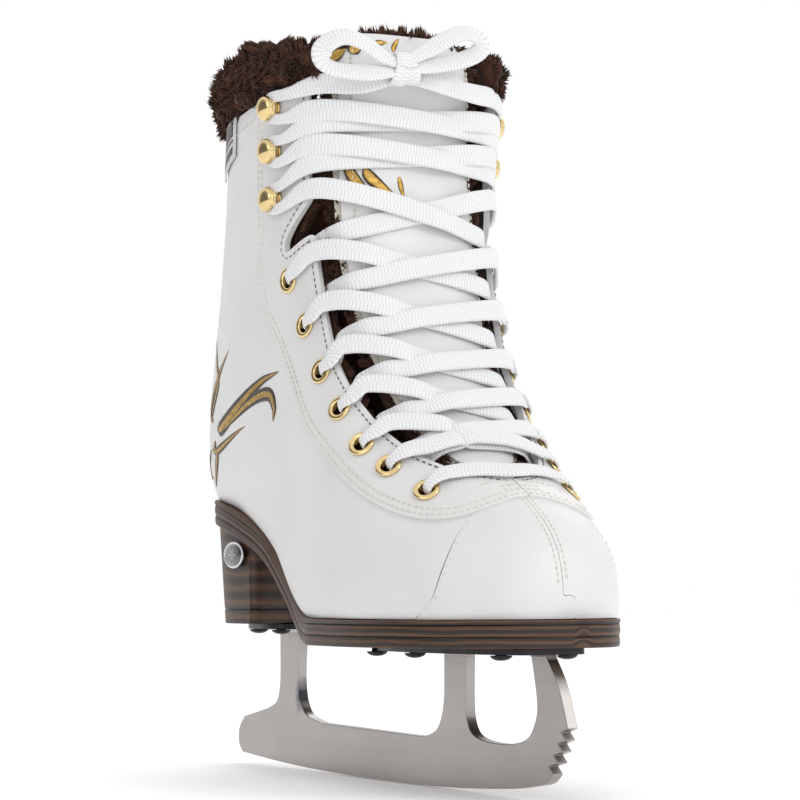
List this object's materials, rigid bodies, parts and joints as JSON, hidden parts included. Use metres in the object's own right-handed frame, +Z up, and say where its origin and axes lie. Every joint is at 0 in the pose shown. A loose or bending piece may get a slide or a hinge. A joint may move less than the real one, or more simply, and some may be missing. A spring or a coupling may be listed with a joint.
{
  "type": "figure skate",
  "caption": "Lace-up figure skate for the right foot: white lined leather boot, stacked heel and sole, steel blade with a toe pick, tied lace.",
  "frame": {"origin": "lowest flat of the blade, in the middle of its thickness", "axes": "+Z up, toe towards -Y, the wearer's right towards -X"},
  "size_m": [0.106, 0.2623, 0.279],
  "materials": {
    "white_leather": "smooth white leather, low sheen",
    "plush": "dark brown deep pile plush",
    "fibreboard": "pressed fibreboard",
    "stiff_felt": "moulded stiffener",
    "foam": "foam padding",
    "stacked_sole": "stacked leather layers, dark brown, burnished",
    "rubber_lift": "matt black rubber",
    "blade_steel": "ground steel with a bright lower edge",
    "dark_steel": "blackened steel",
    "brass": "polished brass",
    "badge_enamel": "black oval with a silver rim",
    "cotton": "white flat woven lace",
    "label": "blank woven label"
  },
  "bodies": {
    "root": {"backstay": "white_leather", "badge": "badge_enamel", "blade": "blade_steel", "eyelet_left_1": "brass", "eyelet_left_2": "brass", "eyelet_left_3": "brass", "eyelet_left_4": "brass", "eyelet_left_5": "brass", "eyelet_left_6": "brass", "eyelet_left_7": "brass", "eyelet_right_1": "brass", "eyelet_right_2": "brass", "eyelet_right_3": "brass", "eyelet_right_4": "brass", "eyelet_right_5": "brass", "eyelet_right_6": "brass", "eyelet_right_7": "brass", "footbed": "plush", "fur_cuff": "plush", "heel_block": "stacked_sole", "heel_counter": "stiff_felt", "heel_lift": "rubber_lift", "heel_plate": "dark_steel", "heel_screw_1": "dark_steel", "heel_screw_2": "dark_steel", "heel_screw_3": "dark_steel", "heel_screw_4": "dark_steel", "hook_left_1": "brass", "hook_left_2": "brass", "hook_left_3": "brass", "hook_right_1": "brass", "hook_right_2": "brass", "hook_right_3": "brass", "insole_board": "fibreboard", "lace": "cotton", "lace_bow": "cotton", "lace_stay_left": "white_leather", "lace_stay_right": "white_leather", "midsole": "stacked_sole", "outsole": "stacked_sole", "quarter_left": "white_leather", "quarter_right": "white_leather", "shaft_lining": "plush", "shank": "dark_steel", "side_label": "label", "sole_plate": "dark_steel", "sole_screw_1": "dark_steel", "sole_screw_2": "dark_steel", "sole_screw_3": "dark_steel", "sole_screw_4": "dark_steel", "sole_screw_5": "dark_steel", "sole_screw_6": "dark_steel", "toe_lining": "plush", "toe_panel_left": "white_leather", "toe_panel_right": "white_leather", "toe_puff": "stiff_felt", "welt": "stacked_sole"},
    "tongue": {"tongue_cover": "white_leather", "tongue_padding": "foam", "tongue_lining": "plush"}
  },
  "joints": [
    {"name": "tongue_flex", "type": "hinge", "parent": "root", "child": "tongue", "pos_m": [0, -0.072, 0.112], "axis": [-1, 0, 0], "range_deg": [0, 10], "stiffness_Nm_per_rad": 0.4}
  ]
}
